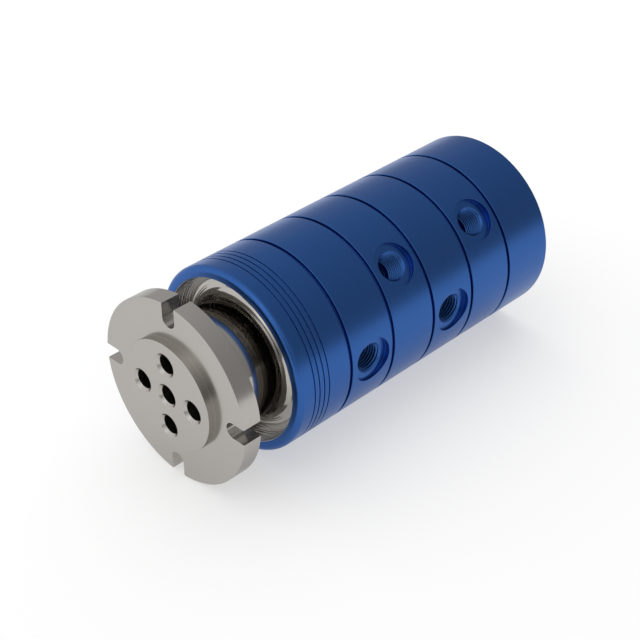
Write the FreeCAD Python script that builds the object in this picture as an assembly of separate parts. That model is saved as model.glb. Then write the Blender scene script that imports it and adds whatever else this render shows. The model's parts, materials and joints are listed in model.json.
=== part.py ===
import FreeCAD, Part
import math
import os

# Hydraulic rotary union with four side ports and one axial port, in millimetres.
# The origin is the centre of the flange's mounting face. The rotor's axis runs along +Y
# from that face into the housing, +X is the side of the first port and +Z is up.
# Radii grow outwards from the rotor's passages, and lengths grow from the flange to the rear,
# so each piece takes its size and place from the piece that carries it.

# Passages in the rotor
passage_radius = 4.25
passage_circle = 15.0
passage_mouth_radius = 5.45
passage_mouth_depth = 1.3
passage_wall = 1.25
passage_overrun = 4.0
cross_hole_radius = 3.0
channel_depth = 2.0
channel_width = 9.0

# Flange and pilot of the rotor
pilot_radius = 25.0
pilot_height = 3.5
pilot_base_fillet = 0.3
flange_inset = 0.5
flange_thickness = 9.0
slot_width = 7.2
slot_depth = 10.1
slot_count = 4
edge_break = 0.25

# Neck, collar and rear end of the rotor
nose_gap = 20.8
neck_step = 3.8
neck_fillet = 5.0
collar_setback = 8.2
collar_thickness = 2.4
collar_gap = 0.6
collar_overlap = 0.9
seal_land_step = 2.5
rear_journal_step = 5.0
circlip_groove_depth = 1.0
rotor_end_margin = 3.1

# Running clearances between the rotor and what stands still
bore_clearance = 0.1
seal_film = 0.03
lip_film = 0.04
quill_clearance = 0.05
hub_clearance = 0.6
end_clearance = 0.4

# Rings, seals and bolts of the housing stack
seal_section = 5.5
seal_recess_depth = 4.2
seal_ring_height = 2.3
seal_ring_land = 1.0
seal_ring_ramp = 0.5
seal_ring_relief = 0.3
seal_side_gap = 0.15
energiser_side_gap = 0.3
recess_wall = 1.6
o_ring_groove_width = 2.0
o_ring_groove_depth = 1.15
o_ring_half_width = 0.85
bolt_wall = 1.65
bolt_radius = 2.5
bolt_clearance = 0.25
bolt_rim = 6.0
bolt_count = 6
bolt_first_angle = 22.5
bolt_engagement = 10.0
bolt_drill_extra = 1.3
bolt_head_radius = 4.25
bolt_head_height = 5.0
bolt_head_gap = 0.35
bolt_head_recess = 0.4
bolt_head_chamfer = 0.5
bolt_socket_size = 4.0
bolt_socket_sides = 6
bolt_socket_depth = 2.5

# Outside of the housing
mouth_wall = 5.0
mouth_lip = 0.8
nose_fillet = 2.6
front_wall = 2.35
section_pitch = 25.4
section_count = 4
joint_groove_width = 1.7
joint_groove_depth = 1.6
joint_edge = 0.3
rear_edge = 0.5
hairline_setback = 8.1
hairline_pitch = 2.7
hairline_count = 4
hairline_width = 0.6
hairline_depth = 0.6

# Side ports, G 1/4: the bore is the thread's major diameter
port_angles = (0.0, 45.0)
port_thread_radius = 6.58
port_thread_depth = 12.0
port_countersink_radius = 6.8
port_countersink_depth = 0.35
spotface_radius = 10.0
spotface_depth = 2.3

# Shaft seal in the mouth
shaft_seal_section = 7.5
shaft_seal_width = 7.5
seal_case_thickness = 1.0
seal_case_wall = 4.0
lip_setback = 3.0
lip_waist = 1.5
garter_cord_radius = 0.65
garter_standoff = 3.4
garter_wall = 0.65
garter_groove_depth = 0.3

# Bearings
front_ball_radius = 1.984
front_ball_count = 22
front_bearing_section = 6.5
front_bearing_width = 7.0
rear_ball_radius = 1.786
rear_ball_count = 19
rear_bearing_section = 6.0
rear_bearing_width = 7.0
raceway_clearance = 0.05
raceway_shoulder_share = 0.6
bearing_edge = 0.3
bearing_relief = 0.5
bearing_shoulder = 2.0
shield_thickness = 0.4
shield_inset = 0.35
shield_seat_depth = 1.2
shield_gap = 0.2
cage_gap = 0.4
cage_height_share = 0.45

# Rear cover with its quill, and the pieces that hold it
rear_wall = 2.15
cover_shelf = 4.0
cover_rim_thickness = 4.0
cover_fit = 0.05
cover_margin = 3.55
cover_boss_radius = 19.0
hub_radius = 11.8
hub_length = 2.8
axial_thread_floor = 0.5
quill_radius = 8.0
quill_length = 9.6
quill_chamfer = 0.5
quill_groove_setback = 4.0
quill_groove_width = 2.2
quill_seal_section = 2.45
quill_seal_height = 1.05
cover_groove_width = 2.0
cover_groove_depth = 1.2
circlip_thickness = 2.0
circlip_groove_play = 0.15
circlip_depth = 1.5
circlip_band = 3.9
rotor_circlip_thickness = 1.5
rotor_circlip_play = 0.1
rotor_circlip_band = 3.4
circlip_taper = 0.3
cover_lug_radius = 2.6
cover_lug_hole_radius = 1.1
rotor_lug_radius = 1.9
rotor_lug_hole_radius = 0.8
lug_setback = 0.5
lug_flat = 0.6
lug_angle = 14.0
dowel_radius = 1.0
dowel_depth = 3.0
dowel_inset = 0.4
torque_hole_radius = 3.0
torque_hole_depth = 12.0
torque_hole_inset = 1.0
torque_hole_angles = (52.5, 232.5)

# Radii, from the passages outwards
shaft_radius = passage_circle + passage_radius + passage_wall + channel_depth
channel_radius = shaft_radius - channel_depth
bore_radius = shaft_radius + bore_clearance
seal_recess_radius = shaft_radius + seal_section
o_ring_groove_inner = seal_recess_radius + recess_wall
o_ring_groove_outer = o_ring_groove_inner + o_ring_groove_width
bolt_hole_radius = bolt_radius + bolt_clearance
bolt_circle = o_ring_groove_outer + bolt_wall + bolt_hole_radius
housing_radius = bolt_circle + bolt_rim
flange_radius = housing_radius - flange_inset
slot_root_centre = flange_radius - slot_depth + slot_width / 2
mouth_radius = housing_radius - mouth_wall
seal_land_radius = shaft_radius + seal_land_step
seal_pocket_radius = seal_land_radius + shaft_seal_section
collar_radius = seal_pocket_radius + collar_overlap
neck_radius = shaft_radius + neck_step
rear_journal_radius = shaft_radius - rear_journal_step
spotface_floor = housing_radius - spotface_depth
port_thread_floor = spotface_floor - port_thread_depth

# Places along the axis, from the flange to the rear
nose_front = flange_thickness + nose_gap
collar_front = nose_front + collar_setback
collar_rear = collar_front + collar_thickness
mouth_floor = collar_rear + collar_gap
shaft_seal_front = mouth_floor + bearing_relief
front_bearing_front = shaft_seal_front + shaft_seal_width
front_bearing_rear = front_bearing_front + front_bearing_width
first_joint = front_bearing_rear + front_wall
rear_joint = first_joint + section_count * section_pitch
port_offset = (section_pitch + joint_groove_width) / 2
rear_bearing_front = rear_joint + seal_recess_depth + rear_wall
rear_bearing_rear = rear_bearing_front + rear_bearing_width
rotor_step = rear_bearing_front - bearing_edge
rotor_circlip_rear = rear_bearing_rear + rotor_circlip_thickness + rotor_circlip_play
rotor_end = rotor_circlip_rear + rotor_end_margin
cover_front = rotor_end + end_clearance
cover_rim_rear = cover_front + cover_rim_thickness
cover_circlip_rear = cover_rim_rear + circlip_thickness + circlip_groove_play
rear_end = cover_circlip_rear + cover_margin
hub_front = cover_front - hub_length
quill_front = hub_front - quill_length
bolt_seat = rear_end - bolt_head_height - bolt_head_recess
bolt_tip = first_joint - bolt_engagement

# Radii at the rear, from the rear journal outwards
rear_pocket_radius = rear_journal_radius + rear_bearing_section
cover_recess_radius = rear_pocket_radius + cover_shelf
circlip_groove_radius = cover_recess_radius + circlip_depth
quill_groove_radius = quill_radius - quill_seal_section
quill_bore_radius = quill_radius + quill_clearance

ORIGIN = FreeCAD.Vector(0, 0, 0)
AXIS = FreeCAD.Vector(0, 1, 0)

# Directions in a turned outline, in degrees from the rear, past outwards, to the rear again
OUTWARDS = 90
FORWARDS = 180
INWARDS = 270
REARWARDS = 360


# Shapes that the pieces share

def place(along, radius, angle=0.0):
    """The point at a distance along the rotor's axis, a radius and an angle from +X to +Z."""
    turn = math.radians(angle)
    return FreeCAD.Vector(radius * math.cos(turn), along, radius * math.sin(turn))


def turned(*outline):
    """A ring or solid turned about the rotor's axis. A corner is (along, radius), and an arc
    is (along, radius, along, radius): a point on it and its end."""
    here = place(*outline[-1][-2:])
    edges = []
    for item in outline:
        end = place(*item[-2:])
        if len(item) == 4:
            edges.append(Part.Arc(here, place(*item[:2]), end).toShape())
        else:
            edges.append(Part.makeLine(here, end))
        here = end
    return Part.Face(Part.Wire(edges)).revolve(ORIGIN, AXIS, 360)


def bend(along, radius, bend_radius, start, end):
    """An arc for turned(), from its centre, its radius and the directions of its two ends."""
    points = []
    for angle in ((start + end) / 2, end):
        turn = math.radians(angle)
        points.append(along + bend_radius * math.cos(turn))
        points.append(radius + bend_radius * math.sin(turn))
    return tuple(points)


def band(front, rear, inner, outer):
    """A plain ring about the rotor's axis."""
    return turned((front, inner), (front, outer), (rear, outer), (rear, inner))


def squeezed_ring(along, radius, half_width, half_height):
    """A rubber ring squeezed between two walls: flat where it touches them, round elsewhere."""
    front = along - half_width
    rear = along + half_width
    low = radius - half_height
    high = radius + half_height
    if half_width > half_height:
        flat_front = front + half_height
        flat_rear = rear - half_height
        return turned((flat_rear, high), (rear, radius, flat_rear, low),
                      (flat_front, low), (front, radius, flat_front, high))
    flat_low = low + half_width
    flat_high = high - half_width
    return turned((rear, flat_low), (along, low, front, flat_low),
                  (front, flat_high), (along, high, rear, flat_high))


def hole(front, rear, hole_radius, pitch_radius=0.0, angle=0.0):
    """A round hole or pin that lies along the rotor's axis."""
    return Part.makeCylinder(hole_radius, rear - front, place(front, pitch_radius, angle), AXIS)


def radial_hole(along, angle, hole_radius, inner, outer):
    """A round hole that runs out from the rotor's axis."""
    outwards = place(0, 1, angle)
    return Part.makeCylinder(hole_radius, outer - inner, place(along, inner, angle), outwards)


def angles(count, first=0.0):
    return [first + step * 360.0 / count for step in range(count)]


def joint(number):
    """The front face of stack section 0 to section_count, the last being the rear housing."""
    return first_joint + number * section_pitch


def port_place(number):
    return joint(number) + port_offset


# Rotor

def flange_slots():
    slots = []
    for angle in angles(slot_count):
        root = hole(-edge_break, flange_thickness + edge_break, slot_width / 2, slot_root_centre)
        reach = housing_radius - slot_root_centre + edge_break
        length = flange_thickness + 2 * edge_break
        corner = FreeCAD.Vector(slot_root_centre, -edge_break, -slot_width / 2)
        slot = root.fuse(Part.makeBox(reach, length, slot_width, corner))
        slot.rotate(ORIGIN, AXIS, -angle)
        slots.append(slot)
    return slots


def rotor_passages():
    """The axial passages, their countersunk mouths and the cross holes to the channels."""
    cuts = [hole(-pilot_height, quill_front, passage_radius), passage_mouth(0.0, 0.0)]
    for number, angle in enumerate(angles(section_count)):
        channel = port_place(number)
        rear = channel + passage_overrun
        cuts.append(hole(-pilot_height, rear, passage_radius, passage_circle, angle))
        cuts.append(passage_mouth(passage_circle, angle))
        cuts.append(radial_hole(channel, angle, cross_hole_radius, passage_circle, shaft_radius))
        front = channel - channel_width / 2
        cuts.append(band(front, front + channel_width, channel_radius, bore_radius))
    return cuts


def passage_mouth(pitch_radius, angle):
    foot = place(-pilot_height, pitch_radius, angle)
    return Part.makeCone(passage_mouth_radius, passage_radius, passage_mouth_depth, foot, AXIS)


def rotor():
    base = pilot_radius + pilot_base_fillet
    flange_front_break = flange_radius - edge_break
    neck_end = collar_front - neck_fillet
    body = turned(
        (-pilot_height, 0),
        (-pilot_height, pilot_radius - edge_break),
        (-pilot_height + edge_break, pilot_radius),
        (-pilot_base_fillet, pilot_radius),
        bend(-pilot_base_fillet, base, pilot_base_fillet, INWARDS, REARWARDS),
        (0, flange_front_break),
        (edge_break, flange_radius),
        (flange_thickness - edge_break, flange_radius),
        (flange_thickness, flange_front_break),
        (flange_thickness, neck_radius),
        (neck_end, neck_radius),
        bend(neck_end, neck_radius + neck_fillet, neck_fillet, INWARDS, REARWARDS),
        (collar_front, collar_radius),
        (collar_rear, collar_radius),
        (collar_rear, seal_land_radius),
        (front_bearing_front, seal_land_radius),
        (front_bearing_front, shaft_radius),
        (rotor_step, shaft_radius),
        (rotor_step, rear_journal_radius),
        (rear_bearing_rear, rear_journal_radius),
        (rear_bearing_rear, rear_journal_radius - circlip_groove_depth),
        (rotor_circlip_rear, rear_journal_radius - circlip_groove_depth),
        (rotor_circlip_rear, rear_journal_radius),
        (rotor_end, rear_journal_radius),
        (rotor_end, hub_radius + hub_clearance),
        (hub_front - hub_clearance, hub_radius + hub_clearance),
        (hub_front - hub_clearance, quill_bore_radius),
        (quill_front - hub_clearance, quill_bore_radius),
        (quill_front - hub_clearance, 0),
    )
    return body.cut(flange_slots() + rotor_passages())


# Housing stack

def stack_bolt_holes(front, rear, hole_radius):
    return [hole(front, rear, hole_radius, bolt_circle, angle)
            for angle in angles(bolt_count, bolt_first_angle)]


def joint_face_cuts(front):
    """What the front face of a section holds: the open seal recess and the O-ring groove."""
    return [band(front, front + seal_recess_depth, bore_radius - bore_clearance,
                 seal_recess_radius),
            band(front, front + o_ring_groove_depth, o_ring_groove_inner, o_ring_groove_outer)]


def section_front(front):
    """The rebated front edge that every section after the nose has."""
    rebate_rear = front + joint_groove_width
    rebate_radius = housing_radius - joint_groove_depth
    return [
        (front, bore_radius),
        (front, rebate_radius),
        (rebate_rear, rebate_radius),
        (rebate_rear, housing_radius - joint_edge),
        (rebate_rear + joint_edge, housing_radius),
    ]


def front_housing():
    lip_centre = mouth_radius + mouth_lip
    fillet_centre = housing_radius - nose_fillet
    bearing_radius = shaft_radius + front_bearing_section
    outer_ring_lip = bearing_radius - bearing_shoulder
    relief = front_bearing_rear + bearing_relief
    body = turned(
        (nose_front, fillet_centre),
        bend(nose_front + nose_fillet, fillet_centre, nose_fillet, FORWARDS, OUTWARDS),
        (first_joint, housing_radius),
        (first_joint, bore_radius),
        (relief, bore_radius),
        (relief, outer_ring_lip),
        (front_bearing_rear, outer_ring_lip),
        (front_bearing_rear, bearing_radius),
        (front_bearing_front, bearing_radius),
        (front_bearing_front, seal_pocket_radius),
        (mouth_floor, seal_pocket_radius),
        (mouth_floor, mouth_radius),
        (nose_front + mouth_lip, mouth_radius),
        bend(nose_front + mouth_lip, lip_centre, mouth_lip, INWARDS, FORWARDS),
    )
    cuts = stack_bolt_holes(bolt_tip - bolt_drill_extra, first_joint, bolt_radius)
    for number in range(hairline_count):
        front = nose_front + hairline_setback + number * hairline_pitch
        floor = housing_radius - hairline_depth
        cuts.append(band(front, front + hairline_width, floor, housing_radius + edge_break))
    return body.cut(cuts)


def port_cuts(along, angle):
    """A threaded port with its spotface, its countersink and the passage into the bore."""
    outwards = place(0, 1, angle)
    foot = place(along, spotface_floor - port_countersink_depth, angle)
    countersink = Part.makeCone(port_thread_radius, port_countersink_radius,
                                port_countersink_depth, foot, outwards)
    reach = housing_radius + edge_break
    return [radial_hole(along, angle, spotface_radius, spotface_floor, reach),
            radial_hole(along, angle, port_thread_radius, port_thread_floor, spotface_floor),
            radial_hole(along, angle, passage_radius, channel_radius, port_thread_floor),
            countersink]


def port_ring(number):
    front = joint(number)
    rear = front + section_pitch
    body = turned(*section_front(front), (rear, housing_radius), (rear, bore_radius))
    cuts = joint_face_cuts(front) + stack_bolt_holes(front, rear, bolt_hole_radius)
    angle = port_angles[number % len(port_angles)]
    return body.cut(cuts + port_cuts(port_place(number), angle))


def cover_dowel_place(front, rear):
    return hole(front, rear, dowel_radius, rear_pocket_radius + dowel_inset + dowel_radius)


def rear_housing():
    front = rear_joint
    body = turned(
        *section_front(front),
        (rear_end - rear_edge, housing_radius),
        (rear_end, housing_radius - rear_edge),
        (rear_end, cover_recess_radius),
        (cover_circlip_rear, cover_recess_radius),
        (cover_circlip_rear, circlip_groove_radius),
        (cover_rim_rear, circlip_groove_radius),
        (cover_rim_rear, cover_recess_radius),
        (cover_front, cover_recess_radius),
        (cover_front, rear_pocket_radius),
        (rear_bearing_front, rear_pocket_radius),
        (rear_bearing_front, bore_radius),
    )
    cuts = joint_face_cuts(front) + stack_bolt_holes(front, bolt_seat, bolt_hole_radius)
    cuts += stack_bolt_holes(bolt_seat, rear_end, bolt_head_radius + bolt_head_gap)
    cuts.append(cover_dowel_place(cover_front - dowel_depth, cover_front))
    for angle in torque_hole_angles:
        pitch_radius = bolt_circle - torque_hole_inset
        cuts.append(hole(rear_end - torque_hole_depth, rear_end, torque_hole_radius,
                         pitch_radius, angle))
    return body.cut(cuts)


def module_o_ring(number):
    middle = (o_ring_groove_inner + o_ring_groove_outer) / 2
    half_depth = o_ring_groove_depth / 2
    return squeezed_ring(joint(number) + half_depth, middle, half_depth, o_ring_half_width)


def rotary_seal(number):
    """A PTFE ring that runs on the shaft on two lands with a relief between them."""
    front = joint(number) + seal_side_gap
    rear = joint(number) + seal_recess_depth - seal_side_gap
    inner = shaft_radius + seal_film
    outer = shaft_radius + seal_ring_height
    relief_front = front + seal_ring_land
    relief_rear = rear - seal_ring_land
    return turned(
        (front, inner),
        (front, outer),
        (rear, outer),
        (rear, inner),
        (relief_rear, inner),
        (relief_rear - seal_ring_ramp, inner + seal_ring_relief),
        (relief_front + seal_ring_ramp, inner + seal_ring_relief),
        (relief_front, inner),
    )


def seal_energiser(number):
    half_height = (seal_recess_radius - shaft_radius - seal_ring_height) / 2
    half_width = seal_recess_depth / 2 - energiser_side_gap
    return squeezed_ring(joint(number) + seal_recess_depth / 2,
                         seal_recess_radius - half_height, half_width, half_height)


def tie_bolts():
    bolts = []
    across_corners = bolt_socket_size / 2 / math.cos(math.pi / bolt_socket_sides)
    for angle in angles(bolt_count, bolt_first_angle):
        foot = place(bolt_seat, bolt_circle, angle)
        top = place(bolt_seat + bolt_head_height - bolt_head_chamfer, bolt_circle, angle)
        shank = hole(bolt_tip, bolt_seat, bolt_radius, bolt_circle, angle)
        plain_height = bolt_head_height - bolt_head_chamfer
        head = Part.makeCylinder(bolt_head_radius, plain_height, foot, AXIS)
        crown = Part.makeCone(bolt_head_radius, bolt_head_radius - bolt_head_chamfer,
                              bolt_head_chamfer, top, AXIS)
        rear = bolt_seat + bolt_head_height
        middle = place(rear, bolt_circle, angle)
        corners = [middle + place(0, across_corners, corner) for corner in angles(bolt_socket_sides)]
        hexagon = Part.Face(Part.makePolygon(corners + corners[:1]))
        socket = hexagon.extrude(AXIS * -bolt_socket_depth)
        bolts.append(shank.fuse([head, crown]).removeSplitter().cut(socket))
    return Part.makeCompound(bolts)


# Shaft seal in the mouth

def shaft_seal_case():
    """A steel cup, open towards the mouth."""
    rear = front_bearing_front
    wall_inner = seal_pocket_radius - seal_case_wall
    shell_inner = seal_pocket_radius - seal_case_thickness
    return turned(
        (shaft_seal_front, shell_inner),
        (shaft_seal_front, seal_pocket_radius),
        (rear, seal_pocket_radius),
        (rear, wall_inner),
        (rear - seal_case_thickness, wall_inner),
        (rear - seal_case_thickness, shell_inner),
    )


def garter_place():
    """Where the garter spring sits on the lip: its distance along the axis and its radius."""
    along = shaft_seal_front + lip_setback
    return along, seal_land_radius + garter_standoff + garter_cord_radius


def shaft_seal_lip():
    """The rubber body, bonded to the cup's inner wall, with its lip on the rotor's land."""
    rear = front_bearing_front - seal_case_thickness
    root = seal_pocket_radius - seal_case_wall
    along, spring_radius = garter_place()
    seat = spring_radius - garter_cord_radius
    groove_top = seat + garter_groove_depth
    groove_front = along - garter_cord_radius
    groove_rear = along + garter_cord_radius
    waist = seal_land_radius + lip_waist
    return turned(
        (groove_front - garter_wall, waist),
        (groove_front - garter_wall, groove_top),
        (groove_front, groove_top),
        (groove_front, seat),
        (groove_rear, seat),
        (groove_rear, groove_top),
        (groove_rear + garter_wall, seat),
        (rear, root + seal_case_thickness),
        (rear, waist),
        (groove_rear + garter_wall, waist),
        (along, seal_land_radius + lip_film),
    )


def garter_spring():
    along, spring_radius = garter_place()
    return Part.makeTorus(spring_radius, garter_cord_radius, place(along, 0), AXIS)


# Bearings

class Bearing:
    """A shielded deep-groove ball bearing about the rotor's axis."""

    def __init__(self, front, bore, section, width, ball_radius, ball_count):
        self.front = front
        self.rear = front + width
        self.middle = front + width / 2
        self.bore = bore
        self.outer = bore + section
        self.pitch = bore + section / 2
        self.ball_radius = ball_radius
        self.ball_count = ball_count
        self.groove_radius = ball_radius + raceway_clearance
        self.shield_seat = self.outer - shield_seat_depth
        self.shoulder = ball_radius * raceway_shoulder_share
        self.half_cage = width / 2 - shield_inset - shield_thickness - cage_gap

    def race(self, side, limit):
        """One ring, with side -1 for the inner and +1 for the outer one."""
        land = self.pitch + side * self.shoulder
        half = math.sqrt(self.groove_radius ** 2 - self.shoulder ** 2)
        edge = bearing_edge
        corner = limit - side * edge
        return turned(
            (self.front, land),
            (self.front, corner),
            (self.front + edge, limit),
            (self.rear - edge, limit),
            (self.rear, corner),
            (self.rear, land),
            (self.middle + half, land),
            (self.middle, self.pitch + side * self.groove_radius, self.middle - half, land),
        )

    def inner_ring(self):
        return self.race(-1, self.bore)

    def outer_ring(self):
        ring = self.race(1, self.outer)
        seat_depth = shield_inset + shield_thickness
        inner = self.pitch
        return ring.cut([
            band(self.front, self.front + seat_depth, inner, self.shield_seat),
            band(self.rear - seat_depth, self.rear, inner, self.shield_seat)])

    def shields(self):
        """Two thin discs pressed into the outer ring, just clear of the inner ring."""
        inner = self.pitch - self.shoulder + shield_gap
        front = self.front + shield_inset
        rear = self.rear - shield_inset
        return Part.makeCompound([
            band(front, front + shield_thickness, inner, self.shield_seat),
            band(rear - shield_thickness, rear, inner, self.shield_seat)])

    def ball_places(self):
        return [place(self.middle, self.pitch, angle) for angle in angles(self.ball_count)]

    def balls(self):
        return Part.makeCompound([Part.makeSphere(self.ball_radius, spot)
                                  for spot in self.ball_places()])

    def cage(self):
        """A ring between the races, with a round pocket for each ball."""
        half_height = self.shoulder * cage_height_share
        ring = band(self.middle - self.half_cage, self.middle + self.half_cage,
                    self.pitch - half_height, self.pitch + half_height)
        reach = self.ball_radius
        pockets = [radial_hole(self.middle, angle, self.groove_radius,
                               self.pitch - reach, self.pitch + reach)
                   for angle in angles(self.ball_count)]
        return ring.cut(pockets)

    def save(self, name):
        save(self.outer_ring(), name + "_outer_ring")
        save(self.inner_ring(), name + "_inner_ring")
        save(self.balls(), name + "_balls")
        save(self.cage(), name + "_cage")
        save(self.shields(), name + "_shields")


# Rear cover and what holds it

def rear_cover():
    """A stepped disc with the axial port at the rear and the quill at the front."""
    rim_radius = cover_recess_radius - cover_fit
    groove_front = cover_front + (cover_rim_thickness - cover_groove_width) / 2
    groove_rear = groove_front + cover_groove_width
    groove_radius = rim_radius - cover_groove_depth
    seal_front = quill_front + quill_groove_setback
    seal_rear = seal_front + quill_groove_width
    thread_floor = hub_front + axial_thread_floor
    return turned(
        (quill_front, passage_radius),
        (quill_front, quill_radius - quill_chamfer),
        (quill_front + quill_chamfer, quill_radius),
        (seal_front, quill_radius),
        (seal_front, quill_groove_radius),
        (seal_rear, quill_groove_radius),
        (seal_rear, quill_radius),
        (hub_front, quill_radius),
        (hub_front, hub_radius),
        (cover_front, hub_radius),
        (cover_front, rim_radius),
        (groove_front, rim_radius),
        (groove_front, groove_radius),
        (groove_rear, groove_radius),
        (groove_rear, rim_radius),
        (cover_rim_rear, rim_radius),
        (cover_rim_rear, cover_boss_radius),
        (rear_end - rear_edge, cover_boss_radius),
        (rear_end, cover_boss_radius - rear_edge),
        (rear_end, port_countersink_radius),
        (rear_end - port_countersink_depth, port_thread_radius),
        (thread_floor, port_thread_radius),
        (thread_floor, passage_radius),
    ).cut(cover_dowel_place(cover_front, cover_front + dowel_depth))


def cover_dowel():
    return cover_dowel_place(cover_front - dowel_depth, cover_front + dowel_depth)


def cover_o_ring():
    radius = cover_recess_radius - cover_fit - cover_groove_depth
    half_height = (cover_recess_radius - radius) / 2
    return squeezed_ring(cover_front + cover_rim_thickness / 2, radius + half_height,
                         o_ring_half_width, half_height)


def quill_seal():
    """The seal ring that the rotor's quill bore runs on."""
    front = quill_front + quill_groove_setback + seal_side_gap / 2
    rear = front + quill_groove_width - seal_side_gap
    outer = quill_bore_radius - seal_film
    return band(front, rear, outer - quill_seal_height, outer)


def quill_energiser():
    inner = quill_groove_radius
    outer = quill_bore_radius - seal_film - quill_seal_height
    along = quill_front + quill_groove_setback + quill_groove_width / 2
    half_width = quill_groove_width / 2 - seal_side_gap
    return squeezed_ring(along, (inner + outer) / 2, half_width, (outer - inner) / 2)


def circlip(front, thickness, seat, edge, lug_radius, lug_hole_radius):
    """A snap ring in a groove of radius seat. Its free edge runs off centre, so that the band
    thins towards the gap at the top, where two lugs have holes for pliers."""
    rear = front + thickness
    shift = (edge - seat) * circlip_taper / 2
    free = hole(front, rear, edge - shift)
    free.translate(FreeCAD.Vector(0, 0, -shift))
    groove = hole(front, rear, seat)
    ring = free.cut(groove) if edge > seat else groove.cut(free)
    lug_circle = edge - lug_setback
    lug_angles = [90 - lug_angle, 90 + lug_angle]
    lugs = [hole(front, rear, lug_radius, lug_circle, angle) for angle in lug_angles]
    holes = [hole(front, rear, lug_hole_radius, lug_circle, angle) for angle in lug_angles]
    half_gap = lug_circle * math.sin(math.radians(lug_angle)) - lug_radius + lug_flat
    corner = FreeCAD.Vector(-half_gap, front, 0)
    gap = Part.makeBox(half_gap * 2, thickness, housing_radius, corner)
    return ring.fuse(lugs).removeSplitter().cut([gap] + holes)


def cover_circlip():
    seat = circlip_groove_radius
    return circlip(cover_rim_rear, circlip_thickness, seat, seat - circlip_band,
                   cover_lug_radius, cover_lug_hole_radius)


def rotor_circlip():
    seat = rear_journal_radius - circlip_groove_depth
    return circlip(rear_bearing_rear, rotor_circlip_thickness, seat, seat + rotor_circlip_band,
                   rotor_lug_radius, rotor_lug_hole_radius)


def save(shape, name):
    shape.exportStep("parts/" + name + ".step")


os.makedirs("parts", exist_ok=True)

save(rotor(), "rotor")
save(front_housing(), "front_housing")
for section in range(section_count):
    save(port_ring(section), "port_ring_" + str(section + 1))
save(rear_housing(), "rear_housing")
for section in range(section_count + 1):
    save(rotary_seal(section), "rotary_seal_" + str(section + 1))
    save(seal_energiser(section), "seal_energiser_" + str(section + 1))
    save(module_o_ring(section), "module_o_ring_" + str(section + 1))
save(tie_bolts(), "tie_bolts")
save(shaft_seal_case(), "shaft_seal_case")
save(shaft_seal_lip(), "shaft_seal_lip")
save(garter_spring(), "garter_spring")

Bearing(front_bearing_front, shaft_radius, front_bearing_section, front_bearing_width,
        front_ball_radius, front_ball_count).save("front_bearing")
Bearing(rear_bearing_front, rear_journal_radius, rear_bearing_section, rear_bearing_width,
        rear_ball_radius, rear_ball_count).save("rear_bearing")

save(rear_cover(), "rear_cover")
save(cover_dowel(), "cover_dowel")
save(cover_o_ring(), "cover_o_ring")
save(quill_seal(), "quill_seal")
save(quill_energiser(), "quill_energiser")
save(cover_circlip(), "cover_circlip")
save(rotor_circlip(), "rotor_circlip")
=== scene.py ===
import json
import math

import bmesh
import bpy
from bpy.props import FloatProperty, FloatVectorProperty, IntProperty, PointerProperty
from mathutils import Matrix, Vector


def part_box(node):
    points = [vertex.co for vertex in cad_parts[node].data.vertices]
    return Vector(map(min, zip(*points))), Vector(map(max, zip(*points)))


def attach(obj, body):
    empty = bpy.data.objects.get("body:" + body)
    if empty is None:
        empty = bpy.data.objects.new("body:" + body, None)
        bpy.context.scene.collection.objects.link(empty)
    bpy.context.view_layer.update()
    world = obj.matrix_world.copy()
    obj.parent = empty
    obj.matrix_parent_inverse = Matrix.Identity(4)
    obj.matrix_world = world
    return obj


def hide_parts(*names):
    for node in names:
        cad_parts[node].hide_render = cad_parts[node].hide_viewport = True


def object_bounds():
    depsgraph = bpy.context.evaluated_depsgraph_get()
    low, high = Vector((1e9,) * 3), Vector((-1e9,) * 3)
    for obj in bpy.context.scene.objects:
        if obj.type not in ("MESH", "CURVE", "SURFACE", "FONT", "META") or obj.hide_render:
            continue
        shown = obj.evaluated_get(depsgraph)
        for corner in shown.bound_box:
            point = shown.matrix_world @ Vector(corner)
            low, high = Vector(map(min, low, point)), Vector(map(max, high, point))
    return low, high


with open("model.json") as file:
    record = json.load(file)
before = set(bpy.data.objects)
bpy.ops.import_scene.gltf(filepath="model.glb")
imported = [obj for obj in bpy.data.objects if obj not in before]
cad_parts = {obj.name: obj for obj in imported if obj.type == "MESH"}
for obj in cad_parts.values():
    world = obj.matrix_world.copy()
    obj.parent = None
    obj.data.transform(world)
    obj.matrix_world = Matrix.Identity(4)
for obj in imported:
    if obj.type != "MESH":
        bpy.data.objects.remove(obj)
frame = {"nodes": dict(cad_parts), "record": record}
CAD_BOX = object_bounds()

bl_info = {
    "name": "Hydraulic Rotary Union",
    "version": (1, 0, 0),
    "blender": (4, 5, 0),
    "location": "View3D > Sidebar > Rotary Union",
    "description": "Turned housings, rotor, threads and screws on the packed rotary union",
    "category": "Object",
}

SEGMENTS = 256
HOLE_SEGMENTS = 64
BOLT_SEGMENTS = 72
FEWEST_ARC_STEPS = 3
ARC_STEPS_PER_METRE = 2000
SHARP_ANGLE = math.radians(32)
AXIS = Vector((0, 1, 0))
HOUSING = "housing_body"
ROTOR = "rotor_body"

# Sizes in metres that a user wouldn't change. A name that says no more, such as HUB, is a
# radius, and an EDGE or a FOOT is the radius of a small rounding.

# Corners nearer to the axis than ON_AXIS lie on it. Cutters stand OVERSHOOT past their cut.
ON_AXIS = 1e-7
OVERSHOOT = 0.001

# Nose section
BEARING_SHOULDER = 0.002
BEARING_RELIEF = 0.0005
TAPPED_DEPTH = 0.0113
TAPPED_UNDERSIZE = 0.00025

# Ports and their threads. A tooth's foot and crest are shares of the pitch.
SPOTFACE_REACH = 0.004
THREAD_TURNS = 9.0
THREAD_STEPS = 48
THREAD_FOOT = 0.96
THREAD_CREST = 0.14
THREAD_OVERLAP = 0.00004

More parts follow.
